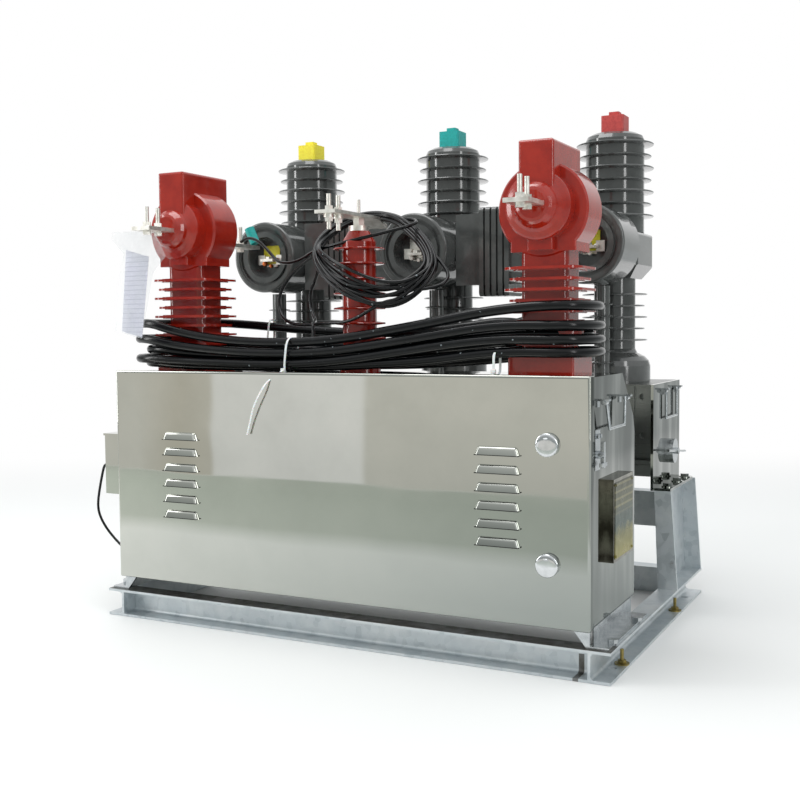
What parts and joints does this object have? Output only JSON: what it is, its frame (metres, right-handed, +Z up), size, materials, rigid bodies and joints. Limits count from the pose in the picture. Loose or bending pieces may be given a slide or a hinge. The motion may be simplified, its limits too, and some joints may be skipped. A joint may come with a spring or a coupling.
{
  "type": "pole-mounted vacuum circuit breaker",
  "caption": "Outdoor vacuum circuit breaker with insulated poles behind a polished metering box carrying cast current transformers, on a galvanised channel frame.",
  "frame": {"origin": "centre of the base frame, on its underside", "axes": "+X to the right along the front, +Y from the metering box front to the breaker behind it, +Z up"},
  "size_m": [1.0664, 0.69, 0.952],
  "materials": {
    "galvanised_steel": "hot-dip galvanised, with spangle and a few rust stains",
    "yellow_zinc": "yellow passivated zinc",
    "mirror_stainless": "mirror-polished stainless sheet",
    "bright_steel": "bright plated or stainless",
    "chrome_cover": "polished",
    "satin_stainless": "satin stainless sheet",
    "brass_plate": "etched plate",
    "red_epoxy": "glossy cast epoxy",
    "tinned_copper": "tinned, slightly dull",
    "teal_plastic": "gloss",
    "grey_rubber": "glossy grey cast insulator",
    "yellow_plastic": "gloss",
    "red_plastic": "gloss",
    "black_cable": "satin sheath",
    "clear_pouch": "thin clear film over paper"
  },
  "bodies": {
    "frame": {"front_and_rear_rails": "galvanised_steel", "side_rails": "galvanised_steel", "columns": "galvanised_steel", "cross_rail": "galvanised_steel", "base_bolts": "yellow_zinc", "box_body": "mirror_stainless", "box_ends": "mirror_stainless", "box_front_frame": "mirror_stainless", "box_feet": "bright_steel", "door_hinge": "mirror_stainless", "draw_latch": "bright_steel", "plate_bracket": "satin_stainless", "rating_plate": "brass_plate", "side_terminal_box": "mirror_stainless", "lifting_lugs": "bright_steel", "left_bails": "bright_steel", "ct_left": "red_epoxy", "ct_right": "red_epoxy", "ct_terminals": "tinned_copper", "ct_terminal_cap": "teal_plastic", "centre_post": "red_epoxy", "centre_terminal": "tinned_copper", "mechanism_case": "satin_stainless", "mech_ends": "bright_steel", "lever_hub": "bright_steel", "lower_insulator_a": "grey_rubber", "lower_insulator_b": "grey_rubber", "lower_insulator_c": "grey_rubber", "pole_head_a": "grey_rubber", "pole_head_b": "grey_rubber", "pole_head_c": "grey_rubber", "upper_insulator_a": "grey_rubber", "upper_insulator_b": "grey_rubber", "upper_insulator_c": "grey_rubber", "phase_cap_a": "yellow_plastic", "phase_cap_b": "teal_plastic", "phase_cap_c": "red_plastic", "bridges": "grey_rubber", "outlet_terminals": "tinned_copper", "cable_hank": "black_cable", "hank_leads": "black_cable", "cable_coil": "black_cable", "coil_leads": "black_cable", "side_lead": "black_cable", "document_pouch": "clear_pouch"},
    "front_door": {"front_door": "mirror_stainless", "door_returns": "mirror_stainless", "lock_covers": "chrome_cover"},
    "box_bail": {"box_bail_right": "bright_steel"},
    "mech_bail": {"mech_bail_right": "bright_steel"},
    "lever": {"operating_lever": "bright_steel"}
  },
  "joints": [
    {"name": "door_hinge", "type": "hinge", "parent": "frame", "child": "front_door", "pos_m": [-0.4605, -0.305, 0.27], "axis": [0, 0, -1], "range_deg": [0, 105]},
    {"name": "box_bail_hinge", "type": "hinge", "parent": "frame", "child": "box_bail", "pos_m": [0.466, -0.2205, 0.424], "axis": [0, -1, 0], "range_deg": [0, 100]},
    {"name": "mech_bail_hinge", "type": "hinge", "parent": "frame", "child": "mech_bail", "pos_m": [0.448, 0.228, 0.416], "axis": [0, -1, 0], "range_deg": [0, 100]},
    {"name": "lever_hinge", "type": "hinge", "parent": "frame", "child": "lever", "pos_m": [0.46, 0.224, 0.2965], "axis": [1, 0, 0], "range_deg": [-30, 30]}
  ]
}
